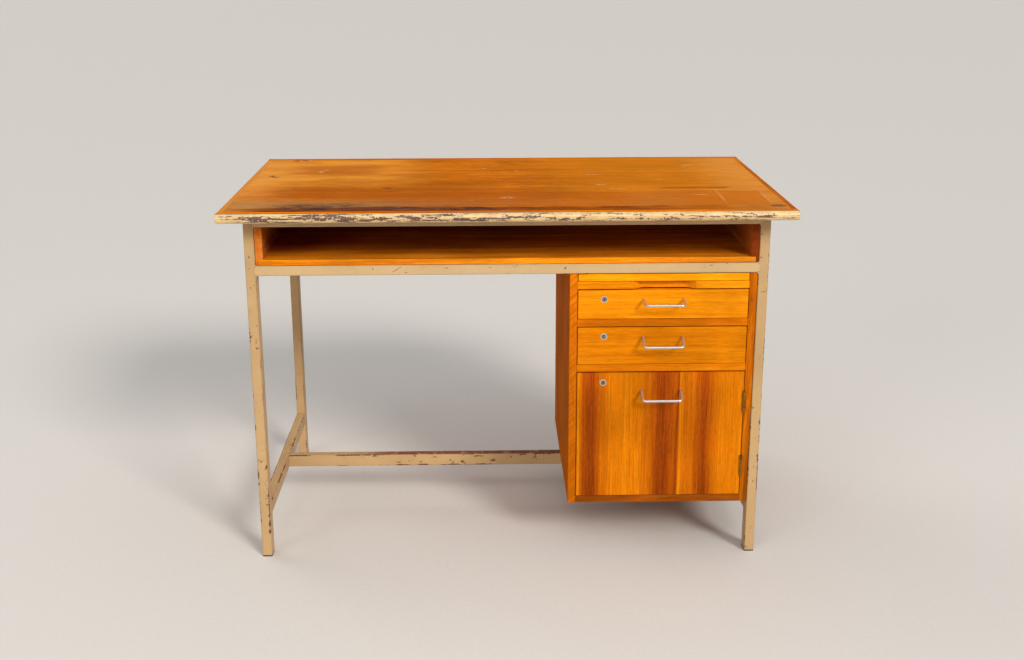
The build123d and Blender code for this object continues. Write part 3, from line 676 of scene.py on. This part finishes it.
STRETCHER_CHIPS = (
    ((-0.11, 0.103), (0.006, 0.0028)), ((-0.104, 0.097), (0.0014, 0.005)),
    ((-0.26, 0.0945), (0.02, 0.0032)), ((-0.21, 0.0945), (0.014, 0.0032)),
    ((-0.13, 0.0945), (0.018, 0.0032)), ((-0.06, 0.0945), (0.022, 0.0028)),
    ((-0.27, 0.1035), (0.006, 0.0016)), ((-0.215, 0.103), (0.004, 0.0014)),
    ((-0.035, 0.106), (0.008, 0.0022)), ((-0.07, 0.118), (0.012, 0.0016)),
    ((0.04, 0.121), (0.01, 0.0016)), ((0.073, 0.116), (0.002, 0.005)),
    ((-0.18, 0.116), (0.004, 0.0014)), ((-0.33, 0.119), (0.006, 0.0012)),
    ((-0.42, 0.095), (0.004, 0.0012)),
)


def board_edge(node, edge_light, gaps=(), right=None):
    """A board whose front edge is painted lighter than its faces, as painted light, with a painted shadow
    line in the gap along the sides in gaps, each an axis, a side and a width. The second argument is the
    painted light's factor on the edge at its foot and at its top. right is a factor for the colour of its
    right-hand twin."""
    low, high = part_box(node)

    def finish(g, colour, rough, height):
        where = g.split(g.point)
        edge = at_front(g, where[1], low[1])
        # painted light: the front edge lighter, by a factor that runs from its foot to its top
        lit_edge = g.shade(colour, g.step(where[2], low[2], high[2], edge_light[0], edge_light[1]))
        if right is not None:
            twin = g.mix(1.0, lit_edge, right, "MULTIPLY")
            lit_edge = g.mix(g.step(where[0], -0.01, 0.01), lit_edge, twin)
        colour = g.mix(edge, colour, lit_edge)
        # painted shadow lines in the gaps along the sides
        for name, side, width in gaps:
            axis, full = AXES[name], width * 0.6
            if side < 0:
                line = g.step(where[axis], low[axis] + full, low[axis] + width, 1.0, 0.0)
            else:
                line = g.step(where[axis], high[axis] - width, high[axis] - full)
            colour = g.mix(g.times(line, edge, 0.85), colour, tint(34, 14, 6))
        return colour, rough, height

    return finish


def painted_light_inside(g, colour, rough, height):
    """The shelf's back is painted paler on the side that faces the shelf, as painted light in the shade
    inside the shelf.
    """
    low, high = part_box("shelf_back")
    # painted light: the inner face of the shelf's back made paler
    inside = g.step(g.split(g.point)[1], low[1] + 0.004, high[1] - 0.004, 1.0, 0.0)
    bare_and_lit = g.mix(g.step(rough, 0.3, 0.6), tint(230, 194, 104), tint(244, 212, 124))
    return g.mix(g.times(inside, 0.85), colour, bare_and_lit), rough, height


def enamels():
    """The steel frame's enamels: of the legs and of the rails, and a dictionary by node of the rest."""
    tube = 0.030  # the height of the side rails' tube
    middle_y = (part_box("rear_left_leg")[1][1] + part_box("front_left_leg")[0][1]) / 2
    middle_z = (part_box("top_front_rail")[1][2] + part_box("lower_front_rail")[0][2]) / 2
    low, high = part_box("side_rails")
    side_middle, side_top = (low[2] + high[2]) / 2, high[2]
    across_x, across_y = section("front_left_leg", "X"), section("front_left_leg", "Y", middle_y)
    rail_z = section("top_front_rail", "Z", middle_z)
    side_z = (AXES["Z"], side_middle, side_top - tube - side_middle, side_top - side_middle)
    stretcher_y, stretcher_z = section("long_stretcher", "Y"), section("side_stretchers", "Z")
    legs = enamel("leg_enamel", LEG_CREAM, (across_x, across_y), 1.45, 4.1,
                  scratches=LEG_SCRATCHES, marks=LEG_CHIPS, low_wear=True)
    rails = enamel("rail_enamel", RAIL_CREAM, (across_y, rail_z), 0.75, 1.7, scratches=RAIL_SCRATCHES)
    others = {
        "side_rails": enamel("side_rail_enamel", LEG_CREAM, (across_x, side_z), 0.9, 2.9),
        "side_stretchers": enamel("side_stretcher_enamel", LEG_CREAM, (across_x, stretcher_z), 1.5, 6.3),
        "long_stretcher": enamel("stretcher_enamel", LEG_CREAM, (stretcher_y, stretcher_z), 1.75, 7.9,
                                 front_node="long_stretcher", marks=STRETCHER_CHIPS,
                                 worn_top=(-0.42, -0.26)),
    }
    return legs, rails, others


def boards():
    """The timbers of the boards that show, by node."""
    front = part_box("pedestal_left_side")[0][1]
    rail = {"figure": 42.0, "fibre": 520.0, "specular": 0.09, "spread": 0.28, "fleck": 0.08}
    veneer = {"figure": 75.0, "fibre": 640.0, "specular": 0.09, "stretch": 0.014, "sway": 0.008,
              "spread": 0.34, "fleck": 0.10}
    side = {"fibre": 520.0, "specular": 0.015, "fleck": 0.12, "gloss": (0.7, 0.85), "stretch": 0.03}
    lipping = {"stretch": 0.03, "gloss": (0.34, 0.48)}
    foot_gap = (("Z", -1, 0.0012),)
    both_gaps = (("X", -1, 0.0013), ("X", 1, 0.0013))
    top_gap = ("Z", 1, 0.001)
    floor_edge = board_edge("shelf_floor", (1.22, 1.22), foot_gap)
    sides_edge = board_edge("shelf_sides", (1.35, 1.35), both_gaps, tint(158, 126, 126))
    left_edge = board_edge("pedestal_left_side", (1.18, 1.46), (top_gap,))
    right_edge = board_edge("pedestal_right_side", (0.82, 1.40), (("X", 1, 0.0013), top_gap))
    return {
        "tabletop": timber("top_timber", "X", TOP_TONES, 5.0, figure=48.0, fibre=300.0, stretch=0.016,
                           spread=0.36, tone=0.22, fleck=0.2, gloss=(0.30, 0.42), specular=0.02,
                           finish=top_finish),
        "top_long_lippings": timber("top_lipping", "X", LONG_LIPPING, 6.0, specular=0.0, fleck=0.12,
                                    finish=long_lippings, **lipping),
        "top_end_lippings": timber("end_lipping", "Y", END_LIPPING, 7.0, specular=0.03,
                                   finish=end_lippings, **lipping),
        "shelf_floor": timber("shelf_floor_timber", "X", DEEP, 8.0, finish=floor_edge, **rail),
        "shelf_sides": timber("shelf_side_timber", "Y", SHELF_SIDE, 9.0, finish=sides_edge, **rail),
        "shelf_back": timber("shelf_back_timber", "X", DEEP, 10.0, finish=painted_light_inside, **rail),
        "pedestal_left_side": timber("left_side_timber", "Z", BROWN, 11.0, figure=230.0, spread=0.44,
                                     lean=(-1.1, front), finish=left_edge, **side),
        "pedestal_right_side": timber("right_side_timber", "Z", BROWN, 12.0, figure=95.0,
                                      lean=(-0.06, front), finish=right_edge, **side),
        "pedestal_bottom": timber("pedestal_bottom_timber", "X", UNDERSIDE, 13.0, **rail),
        "pedestal_back": timber("pedestal_back_timber", "Z", BROWN, 14.0, figure=18.0),
        "scoop_rail": timber("scoop_rail_timber", "X", BRIGHT, 15.0, **rail),
        "upper_drawer_rail": timber("upper_rail_timber", "X", ORANGE, 16.0, **rail),
        "lower_drawer_rail": timber("lower_rail_timber", "X", LOWER_RAIL, 17.0, **rail),
        "writing_slide": timber("slide_timber", "X", AMBERS, 18.0, **rail),
        "upper_drawer_front": timber("upper_front_timber", "X", BRIGHT, 19.0, **veneer),
        "lower_drawer_front": timber("lower_front_timber", "X", HONEY, 20.0, **veneer),
        "cupboard_door": timber("door_veneer", "Z", ORANGE, 21.0, fibre=560.0, stretch=0.02, sway=0.008,
                                specular=0.09, plain=veneer_stripes("cupboard_door")),
    }


def paint_all():
    """Give every CAD node its material. Returns the rails' enamel, which the welds share."""
    legs, rails, others = enamels()
    raw = {"specular": 0.2, "gloss": (0.6, 0.75)}
    raw_x = timber("raw_timber_x", "X", RAW, 2.0, tone=0.1, **raw)
    raw_y = timber("raw_timber_y", "Y", RAW, 3.0, tone=0.1, **raw)
    ply = timber("plywood", "Y", PLY, 4.0, figure=14.0, **raw)
    steel = metal("screw_steel", tint(120, 118, 112), tint(178, 176, 170), (0.35, 0.5))
    brass = metal("hinge_brass", tint(118, 86, 34), tint(176, 136, 62), (0.34, 0.5),
                  tarnish=tint(96, 66, 30))
    silver = metal("handle_metal", tint(184, 182, 177), tint(212, 210, 205), (0.28, 0.38), 0.8,
                   scale=700.0)
    nickel = metal("lock_nickel", tint(186, 184, 176), tint(216, 214, 206), (0.3, 0.42), 0.6,
                   tarnish=tint(160, 154, 138))
    plug = metal("lock_brass", tint(100, 97, 86), tint(148, 145, 130), (0.34, 0.46), 0.7,
                 tarnish=tint(112, 96, 60))
    named = boards() | others | {
        "leg_tips": rubber("tip_rubber"),
        "hinge_stile_leaves": brass,
        "hinge_door_leaves": brass,
        "hinge_pins": brass,
    }
    # the other nodes, by how their names end
    by_ending = (
        ("_leg", legs),
        (("_rail", "_rails"), rails),
        ("_handle", silver),
        (("_lock_case", "_lock_bolt"), nickel),
        ("_lock_plug", plug),
        ("screws", steel),
        ("_bottom", ply),
        (("_sides", "_runners", "_stop"), raw_y),
        ("", raw_x),
    )
    for name, node in nodes.items():
        material = named.get(name)
        if material is None:
            material = next(found for ending, found in by_ending if name.endswith(ending))
        node.data.materials.clear()
        node.data.materials.append(material)
    return rails


# ---------------------------------------------------------------- new pieces


def piece(name, points, faces, body, material, smooth=True):
    mesh = bpy.data.meshes.new(name)
    mesh.from_pydata([tuple(p) for p in points], [], faces)
    mesh.update()
    mesh.polygons.foreach_set("use_smooth", [smooth] * len(mesh.polygons))
    mesh.materials.append(material)
    made = bpy.data.objects.new(name, mesh)
    bpy.context.scene.collection.objects.link(made)
    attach(made, body)
    return made


# larger flakes on the better-kept right half and at the left end: x, turn, half length, half height
FLAKES = (
    (0.069, 0.42, 0.012, 0.06), (0.117, 0.5, 0.014, 0.07), (0.146, 0.58, 0.006, 0.06),
    (0.166, 0.42, 0.013, 0.12), (0.18, 0.52, 0.008, 0.06), (0.203, 0.66, 0.012, 0.06),
    (0.215, 0.62, 0.004, 0.1), (0.24, 0.58, 0.011, 0.05), (0.281, 0.45, 0.009, 0.08),
    (0.276, 0.55, 0.004, 0.08), (0.3, 0.3, 0.008, 0.05), (0.325, 0.34, 0.006, 0.04),
    (0.362, 0.4, 0.009, 0.06), (0.372, 0.5, 0.006, 0.04), (0.417, 0.5, 0.014, 0.05),
    (0.405, 0.56, 0.006, 0.03), (0.455, 0.46, 0.005, 0.06), (0.482, 0.5, 0.018, 0.04),
    (0.5, 0.58, 0.008, 0.04), (0.536, 0.47, 0.024, 0.06), (0.522, 0.54, 0.01, 0.05),
    (0.59, 0.3, 0.006, 0.05), (-0.585, 0.55, 0.014, 0.05), (-0.56, 0.45, 0.01, 0.04),
)


def rise(value, start, length):
    """0 up to start, then a straight rise to 1 over length."""
    return min(1.0, max(0.0, (value - start) / length))


def bell(value, centre, width):
    """1 at centre, falling off smoothly over width on both sides."""
    return math.exp(-(((value - centre) / width) ** 2))


def chipping(x, turn):
    """How far the nosing's paint is gone at x, where turn runs from 0 at the top face to 1 at the
    underside. Above 0.5 the wood shows."""
    patches = noise.fractal(Vector((x * 9.0, turn * 4.0, 3.1)), 0.9, 2.2, 4)
    flakes = noise.fractal(Vector((x * 34.0, turn * 9.0, 7.7)), 0.75, 2.1, 4)
    crumbs = noise.fractal(Vector((x * 190.0, turn * 12.0, 1.9)), 0.8, 2.0, 3)
    cracks = abs(noise.noise(Vector((x * 14.0, turn * 11.0, 5.2))))
    heavy = 1.0 - rise(x, -0.05, 0.16)
    ends = rise(x, -0.60, 0.06) * (1.0 - rise(x, 0.52, 0.06))
    face = rise(turn, 0.10, 0.12) * min(1.0, max(0.0, (0.84 - turn) / 0.12))
    middle, arris = bell(turn, 0.50, 0.17), bell(turn, 0.13, 0.05)
    line = bell(turn, 0.45, 0.05) if 0.22 < x < 0.50 else 0.0
    amount = (0.205 + 0.155 * heavy + 0.20 * heavy * middle) * ends * (0.25 + 0.75 * face)
    amount += 0.10 * line + 0.16 * heavy * arris
    amount += 0.14 * max(0.3, heavy) * max(0.0, 1.0 - cracks / 0.03)
    for at, height, half_length, half_height in FLAKES:
        if abs(x - at) < 2.5 * half_length:
            amount += 0.36 * bell(x, at, half_length) * bell(turn, height, half_height)
    amount += (0.35 + 0.27 * heavy) * patches
    amount += (0.78 - 0.16 * heavy) * flakes + (0.46 - 0.14 * heavy) * crumbs
    return amount


def build_nosing():
    """The front nosing as a fine mesh whose paint has chipped away in sunken flakes."""
    low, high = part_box("front_nosing")
    radius = (high[2] - low[2]) / 2
    centre_y, centre_z = low[1] + radius, (low[2] + high[2]) / 2
    step, depth, arris = 0.001, 0.00032, 0.0010
    columns = int(round((high[0] - low[0]) / step)) + 1
    profile = [(high[1], high[2], 0.0, 0.0)]
    arc_steps = 32
    for i in range(arc_steps + 1):
        turn = i / arc_steps
        angle = math.pi / 2 + math.pi * turn
        profile.append((math.cos(angle), math.sin(angle), turn, 1.0))
    profile.append((high[1], low[2], 1.0, 0.0))
    xs = np.linspace(low[0], high[0], columns)
    points, gone, faces = [], [], []
    for x in xs:
        end = min(x - low[0], high[0] - x)
        shrink = arris - math.sqrt(max(0.0, arris**2 - (arris - min(end, arris)) ** 2))
        for y, z, turn, curved in profile:
            if curved:
                chip = chipping(float(x), turn)
                sunk = depth * rise(chip, 0.4, 0.2)
                reach = radius - shrink - sunk
                points.append((x, centre_y + reach * y, centre_z + reach * z))
                gone.append(rise(chip, 0.0, 1.0))
            else:
                inset = -shrink if z > centre_z else shrink
                points.append((x, y, z + inset))
                gone.append(0.0)
    rows = len(profile)
    for i in range(columns - 1):
        for j in range(rows - 1):
            a = i * rows + j
            faces.append((a, a + 1, a + rows + 1, a + rows))
        a = i * rows
        faces.append((a + rows - 1, a, a + rows, a + 2 * rows - 1))
    faces.append(tuple(reversed(range(rows))))
    faces.append(tuple(range((columns - 1) * rows, columns * rows)))
    made = piece("nosing_painted", points, faces, "desk", nosing_paint())
    attribute = made.data.attributes.new("chip", "FLOAT", "POINT")
    attribute.data.foreach_set("value", np.array(gone, np.float32))
    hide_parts("front_nosing")


def prism(polygon, plane, start, end):
    """Points and faces of polygon, given in two axes, pushed from start to end along the third."""
    first, second = (AXES[a] for a in plane)
    third = 3 - first - second
    points = []
    for level in (start, end):
        for a, b in polygon:
            point = [0.0, 0.0, 0.0]
            point[first], point[second], point[third] = a, b, level
            points.append(point)
    count = len(polygon)
    faces = [tuple(range(count)), tuple(reversed(range(count, 2 * count)))]
    for i in range(count):
        j = (i + 1) % count
        faces.append((i, i + count, j + count, j))
    return points, faces


def fillet(x, z, across, up, radius, lap):
    """The outline of a weld in the corner at x, z, which opens towards across and up. It laps lap
    into the tubes on both sides."""
    centre_x, centre_z = x + across * radius, z + up * radius
    outline = [(x - across * lap, z - up * lap), (centre_x, z - up * lap)]
    arc_steps = 8
    for i in range(arc_steps + 1):
        angle = math.pi / 2 * i / arc_steps
        outline.append((centre_x - across * radius * math.sin(angle),
                        centre_z - up * radius * math.cos(angle)))
    outline.append((x - across * lap, centre_z))
    if across * up < 0:
        outline.reverse()
    return outline


def build_welds(material):
    """Ground welds: the fillets inside the front frame's corners, and the filled grooves where the
    rails and stretchers meet the rounded corners of the legs."""
    parts = []
    radius, lap = 0.004, 0.0024  # of the fillets
    groove, overlap = 0.0022, 0.0004  # how far a filled groove reaches over the leg, and over the rail
    proud, sunk = 0.00003, 0.0016  # how far welds stand out of the faces, and reach into them
    inset = 0.0006  # what a filled groove keeps from the rail's upper and lower edge
    open_depth = 0.030  # of the fillet where no shelf or pedestal stands behind the frame
    leg_low, leg_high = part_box("front_right_leg")
    inner, outer, face = leg_low[0], leg_high[0], leg_low[1]
    upper_low, upper_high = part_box("top_front_rail")
    lower_low, lower_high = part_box("lower_front_rail")
    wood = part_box("shelf_floor")[0][1]

    def fill(plane, ends, bottom, top, start, end):
        a, b = sorted(ends)
        strip = [(a, bottom + inset), (b, bottom + inset), (b, top - inset), (a, top - inset)]
        parts.append(prism(strip, plane, start, end))

    for side in (-1, 1):
        below = face + open_depth if side < 0 else wood
        corners = ((upper_low[2], -1, wood), (lower_high[2], 1, wood), (lower_low[2], -1, below))
        for z, up, back in corners:
            outline = fillet(side * inner, z, -side, up, radius, lap)
            parts.append(prism(outline, "XZ", face - proud, back))
        ends = (side * (inner - overlap), side * (inner + groove))
        for low, high in ((upper_low, upper_high), (lower_low, lower_high)):
            fill("XZ", ends, low[2], high[2], face - proud, face + sunk)
    # the side rails and side stretchers, on the outer and inner faces of both ends
    stretcher_low, stretcher_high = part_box("side_stretchers")
    rails_low, rails_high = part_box("side_rails")
    tall = stretcher_high[2] - stretcher_low[2]
    levels = (stretcher_low[2], rails_low[2], rails_high[2] - tall)
    for side in (-1, 1):
        for flat, sign in ((side * outer, side), (side * inner, -side)):
            end, start = sorted((flat + sign * proud, flat - sign * sunk))
            for y, back in ((rails_low[1], -1), (rails_high[1], 1)):
                for z in levels:
                    fill("YZ", (y - back * overlap, y + back * groove), z, z + tall, start, end)
    points, faces = [], []
    for some_points, some_faces in parts:
        base = len(points)
        points += some_points
        faces += [tuple(base + i for i in f) for f in some_faces]
    piece("frame_welds", points, faces, "desk", material, smooth=False)


# ---------------------------------------------------------------- studio


def lamp(name, direction, strength, spread, colour):
    """An even, soft-edged light that shines along direction. spread is its width in degrees."""
    data = bpy.data.lights.new(name, "SUN")
    data.energy, data.angle, data.color = strength, math.radians(spread), colour
    made = bpy.data.objects.new(name, data)
    made.rotation_mode = "QUATERNION"
    made.rotation_quaternion = Vector(direction).to_track_quat("-Z", "Y")
    made.location = Vector(direction).normalized() * -4
    bpy.context.scene.collection.objects.link(made)


def softbox(name, place, size, power, colour):
    """A long soft panel that looks at the front of the top, for the sheen along rounded edges."""
    data = bpy.data.lights.new(name, "AREA")
    data.shape, data.size, data.size_y = "RECTANGLE", size[0], size[1]
    data.energy, data.color = power, colour
    made = bpy.data.objects.new(name, data)
    made.location = place
    made.rotation_mode = "QUATERNION"
    target = Vector((0.05, -0.2, 0.6))
    made.rotation_quaternion = (target - Vector(place)).to_track_quat("-Z", "Y")
    bpy.context.scene.collection.objects.link(made)


def build_world():
    """A plain studio: dim at the horizon and brighter overhead."""
    world = bpy.data.worlds.new("studio")
    world.use_nodes = True
    tree = world.node_tree
    background = tree.nodes["Background"]
    place = tree.nodes.new("ShaderNodeTexCoord")
    split = tree.nodes.new("ShaderNodeSeparateXYZ")
    ramp = tree.nodes.new("ShaderNodeValToRGB")
    stops = ramp.color_ramp.elements
    stops[0].position, stops[0].color = 0.42, (0.07, 0.07, 0.073, 1.0)
    stops[1].position, stops[1].color = 0.85, (0.86, 0.87, 0.90, 1.0)
    tree.links.new(place.outputs["Generated"], split.inputs[0])
    tree.links.new(split.outputs[2], ramp.inputs[0])
    tree.links.new(ramp.outputs[0], background.inputs[0])
    background.inputs[1].default_value = 1.0
    bpy.context.scene.world = world


def build_studio():
    scene = bpy.context.scene
    scene.view_settings.view_transform = "Standard"
    build_world()
    lamp("key", (-0.48, 0.73, -0.49), 2.35, 16.0, (1.0, 0.97, 0.92))
    softbox("overhead", (0.3, -2.7, 2.8), (2.6, 0.7), 26, (1.0, 0.99, 0.97))
    lamp("fill", (0.62, 0.74, -0.26), 0.66, 24.0, (0.97, 0.98, 1.0))
    lamp("rear", (0.72, -0.52, -0.46), 0.6, 35.0, (1.0, 0.99, 0.97))
    size = 60.0
    mesh = bpy.data.meshes.new("studio_floor")
    corners = [(-size, -size, 0), (size, -size, 0), (size, size, 0), (-size, size, 0)]
    mesh.from_pydata(corners, [], [(0, 1, 2, 3)])
    g = Graph("floor_pale", {"Specular IOR Level": 0.2})
    grit = g.noise(g.point, 90.0, 2.0, 0.5)
    g.set("Base Color", g.ramp(grit, [(0.3, tint(209, 204, 197)), (0.7, tint(212, 207, 200))]))
    g.set("Roughness", g.step(grit, 0.3, 0.7, 0.68, 0.72))
    mesh.materials.append(g.material)
    floor = bpy.data.objects.new("studio_floor", mesh)
    floor.location.z = cad_box[0][2]
    scene.collection.objects.link(floor)


def build_camera():
    """The camera at the photograph's viewing angle, with its angles in radians and place in metres."""
    data = bpy.data.cameras.new("camera")
    data.sensor_width, data.lens, data.shift_y = 36.0, 45.98, 0.0011
    data.clip_start, data.clip_end = 0.05, 200.0
    camera = bpy.data.objects.new("camera", data)
    yaw, pitch, roll = -0.020447, 0.288353, -0.0024132
    turn = (
        Matrix.Rotation(yaw, 4, "Z")
        @ Matrix.Rotation(math.pi / 2 - pitch, 4, "X")
        @ Matrix.Rotation(roll, 4, "Z")
    )
    place = Matrix.Translation((-0.04805, -3.04164, 1.34931))
    camera.matrix_world = place @ turn
    bpy.context.scene.collection.objects.link(camera)
    bpy.context.scene.camera = camera


rail_enamel = paint_all()
build_nosing()
build_welds(rail_enamel)
build_studio()
build_camera()
bpy.context.view_layer.update()
